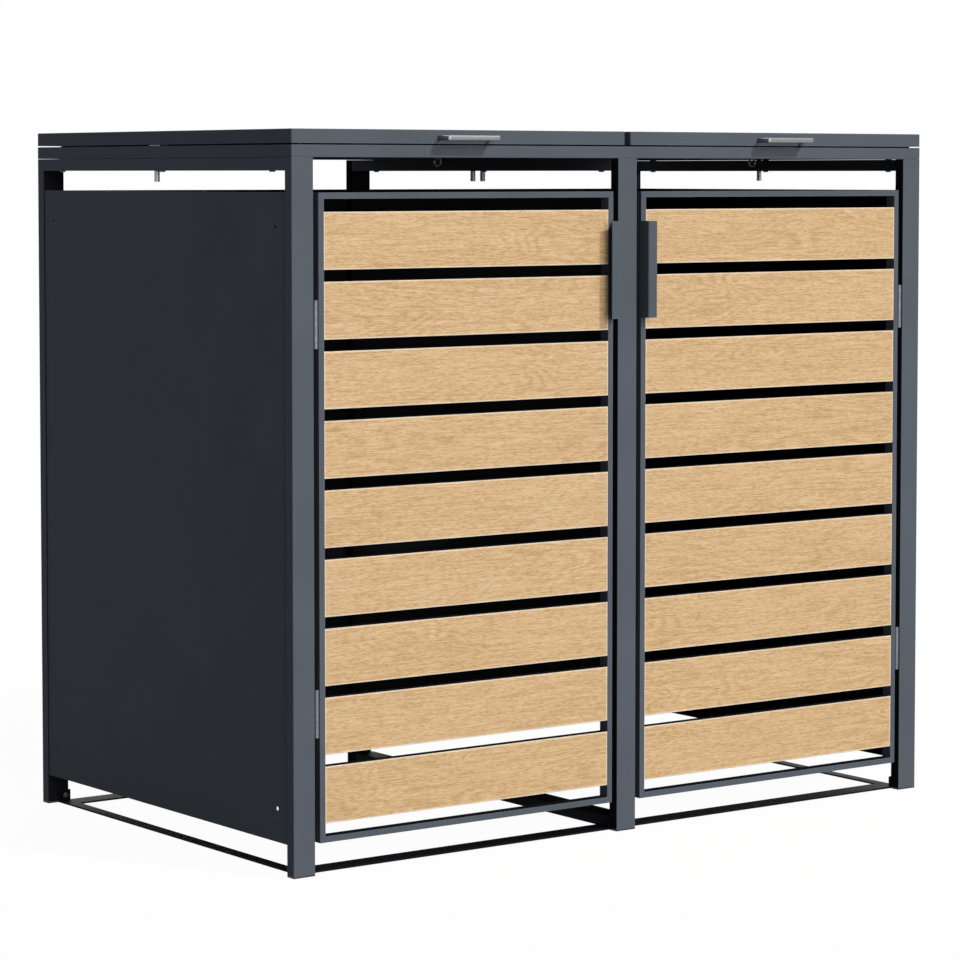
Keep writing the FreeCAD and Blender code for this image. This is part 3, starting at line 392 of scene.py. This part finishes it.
def oak_decor(name, offset):
    """Oak film on the front of a slat, with its own stretch of the print, and painted shade on its other
    faces.
    """
    material, tree, shader = new_material(name, IOR=1.5)
    fibres = long_noise(tree, FIBRE_SIZE, offset, Detail=3.0, Roughness=0.6)
    film = faces(tree, FRONT)
    # Painted shade, a near-black with no sheen, on every face but the printed front.
    colour = add(
        tree, "ShaderNodeMix",
        {"Factor": film, "A": linear(PAINTED_SHADE_TONE), "B": oak_print(tree, fibres, offset)}, data_type="RGBA",
    )
    sheen = add(tree, "ShaderNodeMapRange", {"Value": film, "To Min": 0.0, "To Max": FILM_SHEEN})
    smooth, rough = FILM_ROUGHNESS
    gloss = add(tree, "ShaderNodeMapRange", {"Value": fibres, "To Min": smooth, "To Max": rough})
    grain = add(
        tree, "ShaderNodeBump", {"Height": fibres, "Distance": FIBRE_DEPTH, "Strength": FIBRE_STRENGTH}
    )
    connect(
        tree, shader,
        {"Base Color": colour, "Specular IOR Level": sheen, "Roughness": gloss, "Normal": grain},
    )
    return material


# %% [markdown]
# ## Metals, plastic and rubber
# The small parts have the finishes of their trades: plated, oxidised, brushed, ground,
# lacquered or moulded. All of these are a skin whose tone, roughness and height wander
# together, only over other distances: a round mottle on most, and long lines where metal
# was brushed. So one function makes them all from real sizes.

# %% Finish of a small part
RELIEF_STRENGTH = 0.5


def small_part_finish(name, tones, grain, roughness, depth, wander=0.06, **values):
    """Finish that varies over a grain of a given length along X and width across."""
    material, tree, shader = new_material(name, **values)
    place = object_place(tree, (1 / grain[0], 1 / grain[1], 1 / grain[1]))
    cloud = add(tree, "ShaderNodeTexNoise", {"Vector": place, "Scale": 1.0, "Detail": 3.0})
    colour = add(tree, "ShaderNodeValToRGB", {"Fac": cloud}, stops=over_noise(*tones))
    gloss = add(
        tree, "ShaderNodeMapRange",
        {"Value": cloud, "To Min": roughness - wander, "To Max": roughness + wander},
    )
    relief = add(
        tree, "ShaderNodeBump", {"Height": cloud, "Distance": depth, "Strength": RELIEF_STRENGTH}
    )
    connect(tree, shader, {"Base Color": colour, "Roughness": gloss, "Normal": relief})
    return material


# %% Metal finishes
# Zinc plate on the hinges: a dull grey, faintly clouded.
DULL_ZINC = small_part_finish(
    "dull_zinc_plated_steel", ("#5E6164", "#70747A"), grain=(4 * MM, 4 * MM),
    roughness=0.5, depth=0.02 * MM, Metallic=1.0,
)
# Zinc plate on the strut anchors: smoother, so it catches more light.
STUD_ZINC = small_part_finish(
    "bright_zinc_plated_steel", ("#81858A", "#999DA0"), grain=(2 * MM, 2 * MM),
    roughness=0.4, depth=0.02 * MM, Metallic=1.0,
)
# Steel brushed along the lid pulls: fine long lines and a soft shine.
SATIN_STEEL = small_part_finish(
    "satin_brushed_steel", ("#787B7C", "#8C8E8E"), grain=(125 * MM, 0.8 * MM),
    roughness=0.36, depth=0.01 * MM, wander=0.08, Metallic=1.0,
)
# Ground and chromed rods: nearly a mirror.
GROUND_STEEL = small_part_finish(
    "ground_chromed_steel", ("#C4C6C9", "#D2D4D6"), grain=(2 * MM, 2 * MM),
    roughness=0.14, depth=0.004 * MM, Metallic=1.0,
)
# Black oxide on screws, bolts and the eyes under the lids: dark, with an oily gleam.
BLACK_OXIDE = small_part_finish(
    "black_oxide_steel", ("#1B1C1E", "#232426"), grain=(3 * MM, 3 * MM),
    roughness=0.3, depth=0.01 * MM, IOR=1.6,
)
print("metals:", DULL_ZINC.name, STUD_ZINC.name, SATIN_STEEL.name, GROUND_STEEL.name, BLACK_OXIDE.name)

# %% Paint, plastic and rubber
# Lacquer on the strut cylinders: black with clear reflections.
GLOSS_BLACK = small_part_finish(
    "gloss_black_lacquer", ("#0E0E10", "#151517"), grain=(30 * MM, 30 * MM),
    roughness=0.2, depth=0.01 * MM, IOR=1.5,
)
# Moulded feet and catches: a fine spark-eroded texture that breaks up the shine.
BLACK_PLASTIC = small_part_finish(
    "moulded_black_polypropylene", ("#151617", "#1E1F20"), grain=(1.2 * MM, 1.2 * MM),
    roughness=0.55, depth=0.05 * MM, IOR=1.49,
)
# Rubber strips under the lids: quite matt, and black from every side.
RUBBER = small_part_finish(
    "matt_black_rubber", ("#0B0B0C", "#101011"), grain=(1.5 * MM, 1.5 * MM),
    roughness=0.85, depth=0.05 * MM, IOR=1.52, Specular_IOR_Level=0.0,
)
print("others:", GLOSS_BLACK.name, BLACK_PLASTIC.name, RUBBER.name)

# %% [markdown]
# ## Dressing the frame
# Each node of the frame keeps its mesh and gets a finish by what it is made of. The
# record already says which of its slots each node belongs to, so no list of pieces is
# needed, apart from those that have a finish of their own.

# %% Finishes by slot
FINISHES = {
    "frame_coat": FRAME_COAT,
    "sheet_coat": SHEET_COAT,
    "black_coat": FLOOR_COAT,
    "zinc_steel": DULL_ZINC,
    "black_steel": BLACK_OXIDE,
    "satin_steel": SATIN_STEEL,
    "bright_steel": GROUND_STEEL,
    "strut_black": GLOSS_BLACK,
    "black_plastic": BLACK_PLASTIC,
    "rubber": RUBBER,
}
OWN_FINISHES = {**COATS_WITH_PAINTED_SHADE, "strut_anchors": STUD_ZINC}
print(len(FINISHES), "finishes by slot,", len(OWN_FINISHES), "by piece")

# %% Dress the nodes
# How far the print moves from one slat to the next, counted in spots of each noise.
PRINT_STEP = (3.7, 0.0, 11.3)


def paint(piece, material):
    piece.data.materials.clear()
    piece.data.materials.append(material)


def dress_nodes():
    slots = {part["node"]: part["material_slot"] for part in frame["record"]["subparts"]}
    slats = 0
    for name, slot in slots.items():
        if slot == "oak_decor":
            slats += 1
            offset = tuple(slats * step for step in PRINT_STEP)
            paint(NODES[name], oak_decor(f"printed_oak_film_{slats:02d}", offset))
        else:
            paint(NODES[name], OWN_FINISHES.get(name, FINISHES[slot]))
    print("dressed", len(slots), "nodes,", slats, "of them slats")


dress_nodes()

# %% [markdown]
# ## Studio floor
# In the photograph the floor is as white as the backdrop. More light would get it there,
# but would bleach the store too. So the floor is mid grey for the light that it throws
# back, and shows white to the camera, in reflections and through glass, which the
# renderer tells apart by the kind of ray. It keeps a trace of the store's shadow.


# %% What the camera and reflections see
def sees_white(tree):
    """1 for a ray that comes from the camera, a reflection or glass, and 0 for other light."""
    path = add(tree, "ShaderNodeLightPath").outputs
    shiny = add(
        tree, "ShaderNodeMath",
        {0: path["Is Glossy Ray"], 1: path["Is Transmission Ray"]}, operation="MAXIMUM",
    )
    return add(tree, "ShaderNodeMath", {0: path["Is Camera Ray"], 1: shiny}, operation="MAXIMUM")


# %% Floor finish
# Painted floor: matt, with a slow drift of tone. The distances are in metres.
FLOOR_LIT = ("#868B96", "#8C919C")
FLOOR_SHOWN = ("#F6F6F6", "#FAFAFA")
FLECK_SPACING = 2.0
FLOOR_NEAR = 1.0
FLOOR_FAR = 2.6
FLOOR_GLOW = 0.97


def floor_glow(tree):
    """Share of plain white in the floor: nearly all by the object, and all further off."""
    away = add(tree, "ShaderNodeVectorMath", {0: object_place(tree)}, operation="LENGTH")
    share = add(
        tree, "ShaderNodeMapRange",
        {
            "Value": away, "From Min": FLOOR_NEAR, "From Max": FLOOR_FAR,
            "To Min": FLOOR_GLOW, "To Max": 1.0,
        },
        interpolation_type="SMOOTHSTEP",
    )
    return add(tree, "ShaderNodeMath", {0: sees_white(tree), 1: share}, operation="MULTIPLY")


def floor_finish():
    material, tree, shader = new_material("studio_floor", Roughness=0.9)
    fleck = add(
        tree, "ShaderNodeTexNoise", {"Vector": object_place(tree), "Scale": 1 / FLECK_SPACING}
    )
    lit = add(tree, "ShaderNodeValToRGB", {"Fac": fleck}, stops=over_noise(*FLOOR_LIT))
    shown = add(tree, "ShaderNodeValToRGB", {"Fac": fleck}, stops=over_noise(*FLOOR_SHOWN))
    colour = add(
        tree, "ShaderNodeMix", {"Factor": sees_white(tree), "A": lit, "B": shown}, data_type="RGBA"
    )
    connect(tree, shader, {"Base Color": colour})
    glow = add(tree, "ShaderNodeEmission", {"Color": linear(WHITE), "Strength": 1.0})
    mixed = add(tree, "ShaderNodeMixShader", {0: floor_glow(tree), 1: shader, 2: glow})
    output = next(node for node in tree.nodes if node.type == "OUTPUT_MATERIAL")
    connect(tree, output, {"Surface": mixed})
    return material


# %% Floor
FLOOR_REACH = 30.0


def make_floor():
    mesh = bmesh.new()
    bmesh.ops.create_grid(mesh, x_segments=1, y_segments=1, size=FLOOR_REACH)
    data = bpy.data.meshes.new("floor")
    mesh.to_mesh(data)
    mesh.free()
    floor = bpy.data.objects.new("floor", data)
    bpy.context.scene.collection.objects.link(floor)
    floor.data.materials.append(floor_finish())
    print("floor reaches", FLOOR_REACH, "m each way")


make_floor()

# %% [markdown]
# ## Studio light
# The shadows in the photograph tell where its lights were. A small hard one stands high
# at the front right and draws the pulls' shadows. A broad soft one in front fills the
# doors, and another lights the back for views from there. Area lamps would fall away
# over the store, so each is a sun lamp, as wide as the softbox looks from the store. A
# weak bluish world lifts the shade, and all of it stays at a plain level.


# %% Lights
def make_softbox(name, towards, width, strength):
    """Even light from a softbox so far off that it doesn't fall away over the object."""
    data = bpy.data.lights.new(name, "SUN")
    data.angle = width
    data.energy = strength
    light = bpy.data.objects.new(name, data)
    light.rotation_euler = Vector(towards).to_track_quat("Z", "Y").to_euler()
    bpy.context.scene.collection.objects.link(light)
    print(name, "light,", round(math.degrees(width)), "degrees wide, strength", strength)


make_softbox("key", towards=(0.52, -1.0, 0.84), width=math.radians(4.0), strength=1.9)
make_softbox("front", towards=(-0.055, -1.0, 0.2), width=math.radians(40.0), strength=2.15)
make_softbox("back", towards=(0.6, 1.0, 0.5), width=math.radians(70.0), strength=1.5)

# %% World
FILL_COLOUR = "#C9D6F2"
FILL_STRENGTH = 0.03


def make_world():
    world = bpy.data.worlds.new("studio")
    world.use_nodes = True
    tree = world.node_tree
    tree.nodes.clear()
    seen = add(tree, "ShaderNodeBackground", {"Color": linear(WHITE), "Strength": 1.0})
    fill = add(tree, "ShaderNodeBackground", {"Color": linear(FILL_COLOUR), "Strength": FILL_STRENGTH})
    mixed = add(tree, "ShaderNodeMixShader", {0: sees_white(tree), 1: fill, 2: seen})
    add(tree, "ShaderNodeOutputWorld", {"Surface": mixed})
    bpy.context.scene.world = world
    print("world fill", FILL_COLOUR, "at", FILL_STRENGTH)


make_world()
bpy.context.scene.view_settings.view_transform = "Standard"
